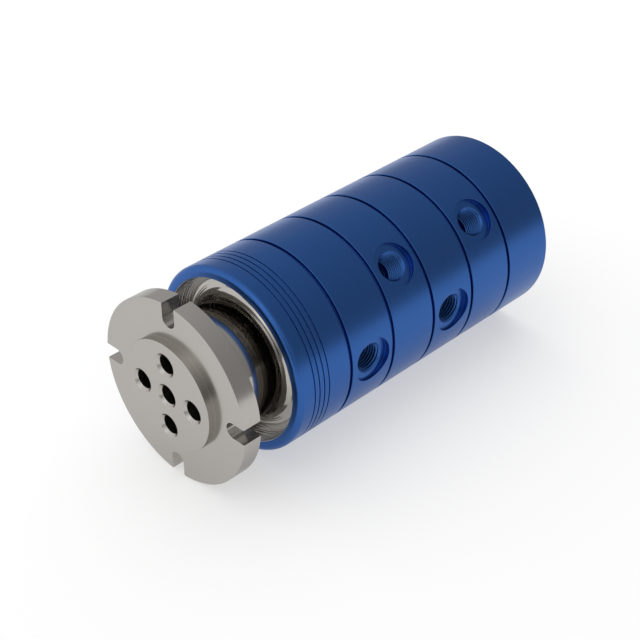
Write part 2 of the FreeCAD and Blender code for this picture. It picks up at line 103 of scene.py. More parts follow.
# Rear section
REAR_EDGE = 0.0005
RECESS_EDGE = 0.0002
COVER_PLAY = 0.00005
COVER_CLIP_PLAY = 0.00015
HEAD_HOLE = 0.0046
HEAD_HOLE_DEPTH = 0.0054
HOLE_OVERLAP = 0.0001
ARM_HOLE = 0.003
ARM_HOLE_DEPTH = 0.012
ARM_HOLE_CIRCLE = 0.035
ARM_HOLE_TURNS = (math.radians(52.5), math.radians(232.5))

# Rear cover, with a boss behind it and a hub and a quill in front
COVER_EDGE = 0.0002
COVER_GROOVE_WIDTH = 0.002
COVER_GROOVE_DEPTH = 0.0012
BOSS = 0.019
BOSS_FOOT = 0.0003
BOSS_EDGE = 0.0005
HUB = 0.0118
HUB_LENGTH = 0.0028
THREAD_STOP = 0.0005
QUILL = 0.008
QUILL_EDGE = 0.0004
QUILL_TIP = 0.004
QUILL_GROOVE = 0.00555
QUILL_GROOVE_WIDTH = 0.0022

# Tie bolts. The knurl draws in every other point of a head beyond KNURL_START.
SHANK = 0.0025
TIP_EDGE = 0.0004
HEAD = 0.00425
HEAD_HEIGHT = 0.005
HEAD_EDGE = 0.0005
KNURL_START = 0.0042
KNURL_SCALE = 0.985
SOCKET_CORNER = 0.0023094
SOCKET_DEPTH = 0.0025
SOCKET_SIDES = 6

# Rotor. The hub's place is measured from the quill's front.
PILOT_EDGE = 0.00025
FLANGE_EDGE = 0.0003
NECK_FOOT = 0.0004
JOURNAL_EDGE = 0.0003
JOURNAL_RELIEF = 0.0003
ROTOR_CLIP_PLAY = 0.0001
ROTOR_CLIP_DEPTH = 0.001
HUB_BORE = 0.0124
HUB_PLACE = 0.0096
QUILL_BORE = 0.00805
QUILL_PLAY = 0.0006
PASSAGE_RUN_ON = 0.004

# Each bearing's end, its count of balls and their radius
BALLS = (("front", 22, 0.001984), ("rear", 19, 0.001786))

# Finishes: how much lighter the painted highlight on an edge is, and how far past a wall its
# finish reaches
EDGE_HIGHLIGHT_GAIN = 1.25
FINISH_MARGIN = 0.0002

# Studio. A lit or dark patch of the room fades as its direction's likeness to PATCH_POWER.
LAMP_AIM = (0, 0.09, 0)
KEY_PLACE = (-0.35, 0.45, 1.1)
KEY_SIDE = 1.5
FILL_PLACE = (-0.9, -0.7, 0.8)
FILL_SIDE = 1.2
PATCH_POWER = 20.0
FLOOR_MATT = 0.82
FLOOR_SHADED = 0.49
FLOOR_GLOW = 0.5


# Settings

def amount(name, description, default, **facts):
    return FloatProperty(name=name, description=description, default=default, **facts)


def length(name, description, default):
    return amount(name, description, default, min=0, unit="LENGTH", precision=5)


def angle(name, description, degrees):
    return amount(name, description, math.radians(degrees), subtype="ANGLE")


def share(name, description, default):
    return amount(name, description, default, min=0, max=1, subtype="FACTOR")


def whole(name, description, default, least=1):
    return IntProperty(name=name, description=description, default=default, min=least)


def triple(name, description, default, subtype="DIRECTION", **facts):
    return FloatVectorProperty(name=name, description=description, default=default, size=3,
                               subtype=subtype, **facts)


def colour(name, description, default):
    return triple(name, description, default, "COLOR", min=0, max=1)


class HousingSettings(bpy.types.PropertyGroup):
    bore: length("Bore", "Radius of the bore around the rotor", 0.0226)
    seal_recess: length("Seal recess", "Radius of the recess for a rotary seal", 0.028)
    seal_depth: length("Seal depth", "Depth of the recess for a rotary seal", 0.0042)
    ring_groove_inner: length("O-ring groove, inside", "Inner radius of the groove", 0.0296)
    ring_groove_outer: length("O-ring groove, outside", "Outer radius of the groove", 0.0316)
    ring_groove_depth: length("O-ring groove depth", "Depth of the groove", 0.00115)
    joint_width: length("Joint width", "Width of the groove at each joint", 0.0017)
    joint_depth: length("Joint depth", "Depth of the groove at each joint", 0.0016)
    edge: length("Edge", "Rounding of the sections' outer edges", 0.0003)
    nose_fillet: length("Nose fillet", "Rounding of the nose's outer edge", 0.0026)
    mouth: length("Mouth", "Radius of the open mouth", 0.037)
    mouth_lip: length("Mouth lip", "Rounding of the mouth's edge", 0.0008)
    mouth_floor: length("Mouth floor", "Distance of the mouth's floor along the axis", 0.041)
    seal_pocket: length("Shaft seal pocket", "Radius of the shaft seal's pocket", 0.0325)
    bearing_seat: length("Bearing seat", "Radius of the front bearing's seat", 0.029)
    bearing_front: length("Bearing front", "Front of the front bearing along the axis", 0.049)
    bearing_rear: length("Bearing rear", "Rear of the front bearing along the axis", 0.056)
    hairline_count: whole("Hairlines", "Fine grooves on the nose", 4, 0)
    hairline_start: length("First hairline", "Distance of the first fine groove", 0.0379)
    hairline_pitch: length("Hairline pitch", "Distance between the fine grooves", 0.0027)
    hairline_width: length("Hairline width", "Width of a fine groove", 0.0006)
    hairline_depth: length("Hairline depth", "Depth of a fine groove", 0.0006)
    bolt_circle: length("Bolt circle", "Radius of the tie bolts' circle", 0.036)
    bolt_hole: length("Bolt hole", "Radius of the tie bolts' holes", 0.00275)
    bolt_count: whole("Tie bolts", "Bolts that clamp the stack", 6)
    bolt_angle: angle("First bolt", "Angle of the first tie bolt from +X to +Z", 22.5)


class PortSettings(bpy.types.PropertyGroup):
    spotface: length("Spotface", "Radius of the flat around each port", 0.010)
    spotface_floor: length("Spotface floor", "Distance of the flat from the axis", 0.0397)
    countersink: length("Countersink", "Radius of the countersink", 0.0068)
    countersink_depth: length("Countersink depth", "Depth of the countersink", 0.00035)
    thread: length("Thread", "Major radius of the G 1/4 thread", 0.00658)
    crest: length("Crest", "Minor radius of the G 1/4 thread", 0.00572)
    pitch: length("Pitch", "Pitch of the G 1/4 thread", 0.001337)
    thread_depth: length("Thread depth", "Depth of the threaded hole", 0.012)
    drill: length("Drilling", "Radius of the drilling into the bore", 0.00425)
    drill_floor: length("Drilling end", "Distance of the drilling's end from the axis", 0.0205)


class RotorSettings(bpy.types.PropertyGroup):
    pilot: length("Pilot", "Radius of the pilot", 0.025)
    flange: length("Flange", "Radius of the flange", 0.0415)
    flange_thickness: length("Flange thickness", "Thickness of the flange", 0.009)
    shaft: length("Shaft", "Radius of the shaft", 0.0225)
    neck: length("Neck", "Radius of the neck behind the flange", 0.0263)
    neck_fillet: length("Neck fillet", "Fillet between the neck and the collar", 0.005)
    neck_end: length("Collar front", "Distance of the collar's front", 0.038)
    collar: length("Collar", "Radius of the collar", 0.0334)
    collar_rear: length("Collar rear", "Distance of the collar's rear", 0.0404)
    seal_land: length("Seal land", "Radius of the land under the shaft seal", 0.025)
    channel: length("Channel", "Radius of the floor of the annular channels", 0.0205)
    channel_width: length("Channel width", "Width of the annular channels", 0.009)
    journal: length("Rear journal", "Radius of the rear bearing's journal", 0.0175)
    passage: length("Passage", "Radius of the axial passages", 0.00425)
    passage_circle: length("Passage circle", "Radius of the passages' circle", 0.015)
    passage_mouth: length("Passage mouth", "Radius of the countersunk mouths", 0.00545)
    passage_mouth_depth: length("Mouth depth", "Depth of the countersunk mouths", 0.0013)
    cross_hole: length("Cross hole", "Radius of the holes into the channels", 0.003)
    slot_width: length("Slot width", "Width of the flange's U-slots", 0.0072)
    slot_centre: length("Slot centre", "Radius of the slot roots' centres", 0.035)
    slot_count: whole("Slots", "U-slots in the flange", 4)


class FinishSettings(bpy.types.PropertyGroup):
    blue: colour("Anodised blue", "Colour of the anodised housing", (0.036, 0.114, 0.36))
    blue_roughness: share("Blue roughness", "Roughness of the anodised housing", 0.3)
    steel: colour("Rotor steel", "Colour of the turned steel", (0.45, 0.43, 0.405))
    steel_roughness: share("Steel roughness", "Roughness of the turned steel", 0.2)
    bare_roughness: share("Bare roughness", "Roughness of the neck and the mouth's wall", 0.1)
    ridge: length("Ridges", "Depth of the coarse tool marks in the mouth", 0.0003)
    screw: colour("Screw black", "Colour of the black oxide screws", (0.022, 0.022, 0.024))
    bearing: colour("Bearing steel", "Colour of ground steel", (0.56, 0.56, 0.56))
    cage: colour("Pressed steel", "Colour of cages and shields", (0.36, 0.34, 0.29))
    spring: colour("Spring steel", "Colour of phosphated spring steel", (0.04, 0.04, 0.042))
    seal: colour("Filled PTFE", "Colour of the bronze filled seal rings", (0.16, 0.10, 0.05))
    rubber: colour("Rubber", "Colour of the O-rings", (0.012, 0.012, 0.013))


class StudioSettings(bpy.types.PropertyGroup):
    camera: triple("Camera", "Place of the camera", (0.36993, -0.29224, 0.35945),
                   "TRANSLATION")
    azimuth: angle("Azimuth", "Direction in which the camera looks", 44.557)
    elevation: angle("Elevation", "Height of the camera above the part", 34.733)
    lens: amount("Lens", "Focal length in millimetres", 83.08, min=1)
    floor: length("Floor size", "Half the side of the floor", 3.0)
    room: amount("Room", "Brightness of the plain room", 0.675, min=0)
    key: amount("Key lamp", "Power of the large lamp above", 7.0, min=0, unit="POWER")
    fill: amount("Fill lamp", "Power of the lamp at the left", 2.5, min=0, unit="POWER")
    lean: triple("Lean", "Where to the room grows brighter", (-0.17, -0.35, 0))
    softbox: amount("Softbox", "How much the soft lamp above the front adds to the room", 0.6)
    softbox_side: triple("Softbox side", "Where that lamp is", (0.15, -0.6, 0.786))
    corner: amount("Dark corner", "What the room's dark corner adds to it, below 0 for less "
                   "light", -0.55)
    corner_side: triple("Corner side", "Where that corner is", (0.72, -0.677, 0.15))


class UnionSettings(bpy.types.PropertyGroup):
    housing: PointerProperty(type=HousingSettings)
    port: PointerProperty(type=PortSettings)
    rotor: PointerProperty(type=RotorSettings)
    finish: PointerProperty(type=FinishSettings)
    studio: PointerProperty(type=StudioSettings)


def settings():
    return bpy.context.scene.rotary_union


# Shapes

def rounded(corners):
    """The outline through corners (along, radius) or (along, radius, fillet)."""
    points = []
    for number, corner in enumerate(corners):
        here = Vector(corner[:2])
        if len(corner) == 2:
            points.append(here)
            continue
        fillet = corner[2]
        before = (Vector(corners[number - 1][:2]) - here).normalized()
        after = (Vector(corners[(number + 1) % len(corners)][:2]) - here).normalized()
        half = before.angle(after) / 2
        centre = here + (before + after).normalized() * (fillet / math.sin(half))
        reach = fillet / math.tan(half)
        start = here + before * reach - centre
        end = here + after * reach - centre
        steps = max(FEWEST_ARC_STEPS, round(start.angle(end) * fillet * ARC_STEPS_PER_METRE))
        for step in range(steps + 1):
            points.append(centre + start.slerp(end, step / steps).normalized() * fillet)
    return points


def place(along, radius, turn):
    """A point by its distance along the axis, its distance from it and its angle."""
    return Vector((radius * math.cos(turn), along, radius * math.sin(turn)))


def circle(count, first=0.0):
    """Equal steps of angle round a circle."""
    return [first + math.tau * step / count for step in range(count)]


def new_object(name, data):
    made = bpy.data.objects.new(name, data)
    bpy.context.scene.collection.objects.link(made)
    return made


def from_bmesh(name, shape):
    """An object whose mesh is a finished bmesh, which is freed."""
    mesh = bpy.data.meshes.new(name)
    shape.to_mesh(mesh)
    shape.free()
    return new_object(name, mesh)


def turned(name, corners, segments=SEGMENTS):
    """A solid turned about +Y from a closed outline, with its faces outwards."""
    outline = rounded(corners)
    pairs = zip(outline, outline[1:] + outline[:1])
    if sum(one.x * other.y - other.x * one.y for one, other in pairs) > 0:
        outline.reverse()
    shape = bmesh.new()
    rings = []
    for along, radius in outline:
        if radius < ON_AXIS:
            rings.append([shape.verts.new((0, along, 0))] * segments)
        else:
            rings.append([shape.verts.new(place(along, radius, turn))
                          for turn in circle(segments)])
    for ring, following in zip(rings, rings[1:] + rings[:1]):
        for step in range(segments):
            after = (step + 1) % segments
            corner_verts = []
            for vertex in (ring[step], following[step], following[after], ring[after]):
                if vertex not in corner_verts:
                    corner_verts.append(vertex)
            if len(corner_verts) > 2:
                shape.faces.new(corner_verts)
    return from_bmesh(name, shape)


def axial(corners, pitch_radius=0.0, turn=0.0, segments=HOLE_SEGMENTS):
    """A turned cutter that stands along the rotor's axis, at a distance from it."""
    tool = turned("cutter", corners, segments)
    tool.data.transform(Matrix.Translation(place(0, pitch_radius, turn)))
    return tool


def cylinder(front, rear, radius, *where, segments=HOLE_SEGMENTS):
    """A straight cutter along the rotor's axis, with as many sides as segments."""
    return axial([(front, 0), (front, radius), (rear, radius), (rear, 0)], *where,
                 segments=segments)


def radial(along, turn, corners):
    """A turned cutter whose outline runs out from the rotor's axis."""
    tool = turned("cutter", corners, HOLE_SEGMENTS)
    outwards = place(0, 1, turn)
    sideways = outwards.cross(AXIS)
    pose = Matrix((sideways, outwards, AXIS)).transposed().to_4x4()
    tool.data.transform(Matrix.Translation((0, along, 0)) @ pose)
    return tool


def slot_cutter(turn):
    """A U-shaped prism, open at the flange's rim."""
    rotor = settings().rotor
    half = rotor.slot_width / 2
    steps = HOLE_SEGMENTS // 2
    outline = [(rotor.flange + half, -half), (rotor.flange + half, half)]
    for step in range(steps + 1):
        bend = math.pi / 2 + math.pi * step / steps
        outline.append((rotor.slot_centre + half * math.cos(bend), half * math.sin(bend)))
    shape = bmesh.new()
    low = [shape.verts.new((x, -half, z)) for x, z in outline]
    high = [shape.verts.new((x, rotor.flange_thickness + half, z)) for x, z in outline]
    shape.faces.new(low)
    shape.faces.new(high[::-1])
    for step in range(len(outline)):
        after = (step + 1) % len(outline)
        shape.faces.new((low[step], high[step], high[after], low[after]))
    bmesh.ops.recalc_face_normals(shape, faces=shape.faces)
    tool = from_bmesh("cutter", shape)
    tool.data.transform(Matrix.Rotation(-turn, 4, "Y"))
    return tool


def bake(piece):
    """Turns a piece's modifiers into plain mesh."""
    bpy.context.view_layer.update()
    depsgraph = bpy.context.evaluated_depsgraph_get()
    mesh = bpy.data.meshes.new_from_object(piece.evaluated_get(depsgraph))
    piece.modifiers.clear()
    piece.data = mesh


def carve(piece, cutters):
    """Cuts every cutter out of a piece and removes the cutters."""
    tools = bpy.data.collections.new("cutters")
    for tool in cutters:
        tools.objects.link(tool)
    cut = piece.modifiers.new("Cut", "BOOLEAN")
    cut.operation = "DIFFERENCE"
    cut.operand_type = "COLLECTION"
    cut.collection = tools
    cut.solver = "EXACT"
    bake(piece)
    for tool in cutters:
        bpy.data.objects.remove(tool)
    bpy.data.collections.remove(tools)


def shade(piece):
    """Smooth faces with sharp edges where they meet at more than the sharp angle."""
    piece.data.shade_smooth()
    piece.data.set_sharp_from_angle(angle=SHARP_ANGLE)


def dress(piece, material):
    """Gives a piece one material."""
    piece.data.materials.clear()
    piece.data.materials.append(material)


def machined(piece, cutters, material, nodes):
    """Cuts a turned piece, shades it and lets it stand for its CAD nodes."""
    carve(piece, cutters)
    shade(piece)
    weigh = piece.modifiers.new("Flat faces lead", "WEIGHTED_NORMAL")
    weigh.keep_sharp = True
    bake(piece)
    dress(piece, material)
    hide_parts(*nodes)
    return piece


def span(node):
    """Where a CAD node starts and ends along the rotor's axis, and its radius."""
    low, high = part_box(node)
    return low[1], high[1], high[0]


# Node trees

def add(tree, kind, links=(), **facts):
    """A node with its settings, its plain input values and its incoming links."""
    made = tree.nodes.new(kind)
    for key, value in facts.items():
        setattr(made, key, value)
    for socket, value in dict(links).items():
        target = made.inputs[socket]
        if isinstance(value, bpy.types.NodeSocket):
            tree.links.new(value, target)
        else:
            target.default_value = value
    return made


def maths(tree, operation, *values, **facts):
    """What a math node makes of plain values and sockets, in their order."""
    return add(tree, "ShaderNodeMath", enumerate(values), operation=operation,
               **facts).outputs[0]


def likeness(tree, one, other):
    """The dot product of two directions."""
    return add(tree, "ShaderNodeVectorMath", {0: one, 1: other},
               operation="DOT_PRODUCT").outputs["Value"]


def colour_mix(tree, mask, low, high):
    """A mix of two colours. A Mix node keeps its colour sockets behind the others."""
    return add(tree, "ShaderNodeMix", {0: mask, 6: low, 7: high},
               data_type="RGBA").outputs[2]


def grey(level):
    return level, level, level, 1


def new_tree(name, inputs):
    """A geometry tree, the outputs that hold what it is given, and its result's input."""
    tree = bpy.data.node_groups.new(name, "GeometryNodeTree")
    tree.interface.new_socket("Geometry", in_out="INPUT", socket_type="NodeSocketGeometry")
    for label, kind in inputs:
        tree.interface.new_socket(label, in_out="INPUT", socket_type="NodeSocket" + kind)
    tree.interface.new_socket("Geometry", in_out="OUTPUT", socket_type="NodeSocketGeometry")
    given = tree.nodes.new("NodeGroupInput").outputs
    return tree, given, tree.nodes.new("NodeGroupOutput").inputs[0]


def paint_copies(tree, copies, material, result):
    """Ends a tree: its copies become real mesh and get their material."""
    real = add(tree, "GeometryNodeRealizeInstances", {"Geometry": copies.outputs[0]})
    painted = add(tree, "GeometryNodeSetMaterial", {"Geometry": real.outputs[0],
                                                    "Material": material})
    tree.links.new(painted.outputs[0], result)


def run_tree(piece, tree, **values):
    """Runs a tree on a piece and keeps the result as plain mesh."""
    work = piece.modifiers.new(tree.name, "NODES")
    work.node_group = tree
    for item in tree.interface.items_tree:
        key = item.name.lower().replace(" ", "_")
        if item.in_out == "INPUT" and key in values:
            work[item.identifier] = values[key]
    piece.update_tag()
    bake(piece)


def copies_tree():
    """Copies the incoming piece round the rotor's axis."""
    tree, given, result = new_tree("Copies round the axis", (
        ("Count", "Int"), ("Circle Radius", "Float"), ("First Angle", "Float"),
        ("Along", "Float"), ("Material", "Material")))
    spots = add(tree, "GeometryNodeMeshCircle", {"Vertices": given["Count"],
                                                 "Radius": given["Circle Radius"]})
    turn = maths(tree, "MULTIPLY", given["First Angle"], -1.0)
    tilt = add(tree, "ShaderNodeCombineXYZ", {"X": math.pi / 2, "Y": turn})
    shift = add(tree, "ShaderNodeCombineXYZ", {"Y": given["Along"]})
    placed = add(tree, "GeometryNodeTransform", {"Geometry": spots.outputs[0],
                                                 "Translation": shift.outputs[0],
                                                 "Rotation": tilt.outputs[0]})
    copies = add(tree, "GeometryNodeInstanceOnPoints", {"Points": placed.outputs[0],
                                                        "Instance": given["Geometry"]})
    paint_copies(tree, copies, given["Material"], result)
    return tree


def thread_tree():
    """Winds an inside thread up from each incoming point, along its outwards attribute."""
    tree, given, result = new_tree("Inside threads", (
        ("Pitch", "Float"), ("Root Radius", "Float"), ("Crest Radius", "Float"),
        ("Turns", "Float"), ("Material", "Material")))
    high = maths(tree, "MULTIPLY", given["Pitch"], given["Turns"])
    depth = maths(tree, "SUBTRACT", given["Root Radius"], given["Crest Radius"])
    both = maths(tree, "ADD", given["Root Radius"], given["Crest Radius"])
    mean = maths(tree, "MULTIPLY", both, 0.5)
    foot = maths(tree, "MULTIPLY", given["Pitch"], THREAD_FOOT)
    crest = maths(tree, "MULTIPLY", given["Pitch"], THREAD_CREST)
    helix = add(tree, "GeometryNodeCurveSpiral", {
        "Resolution": THREAD_STEPS, "Rotations": given["Turns"], "Start Radius": mean,
        "End Radius": mean, "Height": high, "Reverse": True})
    upright = add(tree, "GeometryNodeSetCurveNormal", {"Curve": helix.outputs[0]},
                  mode="Z_UP")
    tooth = add(tree, "GeometryNodeCurvePrimitiveQuadrilateral", {
        "Height": depth, "Bottom Width": foot, "Top Width": crest, "Offset": 0.0},
        mode="TRAPEZOID")
    turned_tooth = add(tree, "GeometryNodeTransform", {
        "Geometry": tooth.outputs[0], "Rotation": (0, 0, math.pi / 2)})
    thread = add(tree, "GeometryNodeCurveToMesh", {
        "Curve": upright.outputs[0], "Profile Curve": turned_tooth.outputs[0],
        "Fill Caps": True})
    heading = add(tree, "GeometryNodeInputNamedAttribute", {"Name": "outwards"},
                  data_type="FLOAT_VECTOR")
    aimed = add(tree, "FunctionNodeAlignRotationToVector",
                {"Vector": heading.outputs["Attribute"]}, axis="Z")
    copies = add(tree, "GeometryNodeInstanceOnPoints", {
        "Points": given["Geometry"], "Instance": thread.outputs[0],
        "Rotation": aimed.outputs[0]})
    paint_copies(tree, copies, given["Material"], result)
    return tree


# Finishes

def turning_place(tree):
    """The place in the part, its distance along the axis and its distance from it."""
    where = add(tree, "ShaderNodeTexCoord").outputs["Object"]
    parts = add(tree, "ShaderNodeSeparateXYZ", {0: where})
    flat = add(tree, "ShaderNodeVectorMath", {0: where, 1: (1, 0, 1)}, operation="MULTIPLY")
    radius = add(tree, "ShaderNodeVectorMath", {0: flat.outputs[0]}, operation="LENGTH")
    return where, parts.outputs["Y"], radius.outputs["Value"]


def turning_marks(tree, scale):
    """Fine noise that follows the tool round the axis: it changes along the axis and with
    the radius, and not round the part. Also gives the place in the part."""
    where, along, radius = turning_place(tree)
    track = add(tree, "ShaderNodeCombineXYZ", {"X": along, "Y": radius})
    noise = add(tree, "ShaderNodeTexNoise", {"Vector": track.outputs[0], "Scale": scale,
                                             "Detail": 3.0, "Roughness": 0.6})
    return noise.outputs[0], where


def edge_mask(tree, radius):
    """How much a surface turns within a small radius: 0 on flat faces, more at edges.
    Also gives the normal that is softened over that radius."""
    soft = add(tree, "ShaderNodeBevel", {"Radius": radius}, samples=6).outputs[0]
    true = add(tree, "ShaderNodeNewGeometry").outputs["Normal"]
    mask = add(tree, "ShaderNodeMapRange", {"Value": likeness(tree, soft, true),
                                            "From Min": 0.99, "From Max": 0.8})
    return mask.outputs[0], soft


def finish(name, base, metallic, roughness, marks=1500.0, mottle=0.05, edge_highlight=None,
           spread=0.06, relief=0.05, edge=0.00018):
    """A metal, rubber or plastic finish: turning marks or grain in its roughness and bump,
    faint clouds in its colour, and a painted highlight that makes its edges lighter."""
    material = bpy.data.materials.get(name)
    if material:
        return material
    material = bpy.data.materials.new(name)
    material.use_nodes = True
    tree = material.node_tree
    surface = tree.nodes["Principled BSDF"]
    fine, where = turning_marks(tree, marks)
    clouds = add(tree, "ShaderNodeTexNoise", {"Vector": where, "Scale": 45.0, "Detail": 4.0})
    base = Vector(base)
    tone = colour_mix(tree, clouds.outputs[0], (*(base * (1 - mottle)), 1),
                      (*(base * (1 + mottle)), 1))
    mask, soft = edge_mask(tree, edge)
    # Painted highlight: the edges take a lighter colour than the rest of the finish.
    shown = colour_mix(tree, mask, tone, (*Vector(edge_highlight or base * EDGE_HIGHLIGHT_GAIN), 1))
    rough = add(tree, "ShaderNodeMapRange", {
        "Value": fine, "From Min": 0.3, "From Max": 0.7, "To Min": roughness - spread,
        "To Max": roughness + spread})
    bump = add(tree, "ShaderNodeBump", {"Strength": relief, "Distance": 0.0001,
                                        "Height": fine, "Normal": soft})
    surface.inputs["Metallic"].default_value = metallic
    tree.links.new(shown, surface.inputs["Base Color"])
    tree.links.new(rough.outputs[0], surface.inputs["Roughness"])
    tree.links.new(bump.outputs[0], surface.inputs["Normal"])
    return material


def swap(tree, socket, mask, value):
    """Gives a shader's socket another value where the mask is 1."""
    kept = socket.links[0].from_socket
    if socket.type == "RGBA":
        mixed = colour_mix(tree, mask, kept, (*value, 1))
    else:
        mixed = add(tree, "ShaderNodeMix", {0: mask, 2: kept, 3: value}).outputs[0]
    tree.links.new(mixed, socket)


def ridge(tree, surface, mask, along, radius):
    """Adds coarse tool marks to a shader's relief where the mask is 1."""
    kept = surface.inputs["Normal"].links[0].from_socket
    track = maths(tree, "SUBTRACT", along, radius)
    noise = add(tree, "ShaderNodeTexNoise", {"W": track, "Scale": 900.0, "Detail": 1.0},
                noise_dimensions="1D")
    height = maths(tree, "MULTIPLY", noise.outputs[0], mask)
    bump = add(tree, "ShaderNodeBump", {"Strength": 1.0, "Height": height,
                                        "Distance": settings().finish.ridge, "Normal": kept})
    tree.links.new(bump.outputs[0], surface.inputs["Normal"])


def anodised_blue():
    """Satin blue, with the wall of the open mouth left as bare metal."""
    made = bpy.data.materials.get("anodised blue")
    if made:
        return made
    tone = settings().finish
    housing = settings().housing
    # The lighter blue given for the edges is a painted highlight.
    material = finish("anodised blue", tone.blue, 1.0, tone.blue_roughness, marks=2200.0,
                      mottle=0.04, edge_highlight=(0.06, 0.17, 0.46), spread=0.03, relief=0.008)
    tree = material.node_tree
    surface = tree.nodes["Principled BSDF"]
    surface.inputs["Specular Tint"].default_value = (0.85, 0.88, 0.93, 1)
    _, along, radius = turning_place(tree)
    inside = maths(tree, "LESS_THAN", radius, housing.mouth + FINISH_MARGIN)
    ahead = maths(tree, "LESS_THAN", along, housing.bearing_front)
    bare = maths(tree, "MULTIPLY", inside, ahead)
    swap(tree, surface.inputs["Base Color"], bare, tone.steel)
    swap(tree, surface.inputs["Roughness"], bare, tone.bare_roughness)
    ridge(tree, surface, bare, along, radius)
    return material


def turned_steel():
    """Satin steel with a polished neck, and tool marks in the fillet up to its collar."""
    made = bpy.data.materials.get("turned steel")
    if made:
        return made
    tone = settings().finish
    rotor = settings().rotor
    # The lighter steel given for the edges is a painted highlight.
    material = finish("turned steel", tone.steel, 1.0, tone.steel_roughness, marks=1800.0,
                      mottle=0.015, edge_highlight=(0.55, 0.53, 0.51), spread=0.02, relief=0.006,
                      edge=0.0001)
    tree = material.node_tree
    surface = tree.nodes["Principled BSDF"]
    surface.inputs["Specular Tint"].default_value = grey(0.7)
    _, along, radius = turning_place(tree)
    neck = maths(tree, "GREATER_THAN", along, rotor.flange_thickness + FINISH_MARGIN)
    swap(tree, surface.inputs["Roughness"], neck, tone.bare_roughness)
    flare = maths(tree, "GREATER_THAN", along, rotor.neck_end - rotor.neck_fillet)
    ridge(tree, surface, flare, along, radius)
    return material


# By slot: the finish's name, its colour in the settings, how metallic and how rough it is,
# its scale of marks and the strength of its clouds
PLAIN_FINISHES = {
    "bearing_steel": ("ground steel", "bearing", 1.0, 0.16, 900.0, 0.05),
    "cage_steel": ("pressed steel", "cage", 1.0, 0.38, 600.0, 0.1),
    "seal_ptfe": ("filled PTFE", "seal", 0.0, 0.5, 700.0, 0.2),
    "seal_rubber": ("nitrile rubber", "rubber", 0.0, 0.55, 500.0, 0.15),
    "screw_steel": ("black oxide", "screw", 0.8, 0.38, 700.0, 0.15),
    "spring_steel": ("phosphated steel", "spring", 0.7, 0.45, 700.0, 0.2),
}


def slot_finish(slot):
    """The finish that belongs to a slot of the record."""
    if slot in ("housing_blue", "cover_blue"):
        return anodised_blue()
    if slot == "rotor_steel":
        return turned_steel()
    name, tone, *numbers = PLAIN_FINISHES[slot]
    return finish(name, getattr(settings().finish, tone), *numbers)


# Pieces of the housing

def bolt_cutters(front, rear, radius):
    """A round cutter at each tie bolt."""
    housing = settings().housing
    return [cylinder(front, rear, radius, housing.bolt_circle, turn)
            for turn in circle(housing.bolt_count, housing.bolt_angle)]


def section_face(front, radius):
    """The corners of a section's front face, from the bore outwards."""
    housing = settings().housing
    seal_floor = front + housing.seal_depth
    ring_floor = front + housing.ring_groove_depth
    joint_rear = front + housing.joint_width
    joint_floor = radius - housing.joint_depth
    return [
        (seal_floor, housing.bore), (seal_floor, housing.seal_recess),
        (front, housing.seal_recess), (front, housing.ring_groove_inner),
        (ring_floor, housing.ring_groove_inner), (ring_floor, housing.ring_groove_outer),
        (front, housing.ring_groove_outer), (front, joint_floor),
        (joint_rear, joint_floor, housing.edge / 2), (joint_rear, radius, housing.edge)]


class UNION_OT_nose(bpy.types.Operator):
    """Makes the nose section with its open mouth and its hairline grooves"""
    bl_idname = "rotary_union.nose"
    bl_label = "Nose section"

    def execute(self, context):
        housing = settings().housing
        front, rear, radius = span("front_housing")
        corners = [(front, radius, housing.nose_fillet)]
        floor = radius - housing.hairline_depth
        for number in range(housing.hairline_count):
            start = housing.hairline_start + number * housing.hairline_pitch
            end = start + housing.hairline_width
            corners += [(start, radius, housing.edge / 4), (start, floor), (end, floor),
                        (end, radius, housing.edge / 4)]
        shoulder = housing.bearing_seat - BEARING_SHOULDER
        relief = housing.bearing_rear + BEARING_RELIEF
        corners += [
            (rear, radius, housing.edge / 2), (rear, housing.bore), (relief, housing.bore),
            (relief, shoulder), (housing.bearing_rear, shoulder),
            (housing.bearing_rear, housing.bearing_seat),
            (housing.bearing_front, housing.bearing_seat),
            (housing.bearing_front, housing.seal_pocket),
            (housing.mouth_floor, housing.seal_pocket), (housing.mouth_floor, housing.mouth),
            (front, housing.mouth, housing.mouth_lip)]
        cutters = bolt_cutters(rear - TAPPED_DEPTH, rear + OVERSHOOT,
                               housing.bolt_hole - TAPPED_UNDERSIZE)
        piece = machined(turned("nose_section", corners), cutters, anodised_blue(),
                         ["front_housing"])
        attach(piece, HOUSING)
        return {"FINISHED"}


def port_cutter(along, turn):
    """The cutter of a side port, from its drilling out to its spotface."""
    port = settings().port
    flat = port.spotface_floor
    clear = flat + SPOTFACE_REACH
    thread_floor = flat - port.thread_depth
    return radial(along, turn, [
        (port.drill_floor, 0), (port.drill_floor, port.drill), (thread_floor, port.drill),
        (thread_floor, port.thread), (flat - port.countersink_depth, port.thread),
        (flat, port.countersink), (flat, port.spotface), (clear, port.spotface), (clear, 0)])


def port_places():
    """Each side port's place along the axis and its angle, from the record's mounts."""
    places = []
    for mount in frame["record"]["mounts"]:
        if mount["name"].startswith("port_"):
            outwards = Vector(mount["axis"])
            places.append((mount["pos_m"][1], math.atan2(outwards.z, outwards.x)))
    return places


class UNION_OT_port_rings(bpy.types.Operator):
    """Makes the stacked port sections, each with its spotface and threaded hole"""
    bl_idname = "rotary_union.port_rings"
    bl_label = "Port sections"

    def execute(self, context):
        housing = settings().housing
        radius = span("front_housing")[2]
        for number, (along, turn) in enumerate(port_places(), 1):
            node = "port_ring_%d" % number
            front, rear, _ = span(node)
            corners = section_face(front, radius) + [(rear, radius, housing.edge / 2),
                                                     (rear, housing.bore)]
            cutters = bolt_cutters(front - OVERSHOOT, rear + OVERSHOOT, housing.bolt_hole)
            cutters.append(port_cutter(along, turn))
            piece = machined(turned("port_section_%d" % number, corners), cutters,
                             anodised_blue(), [node])
            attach(piece, HOUSING)
        return {"FINISHED"}


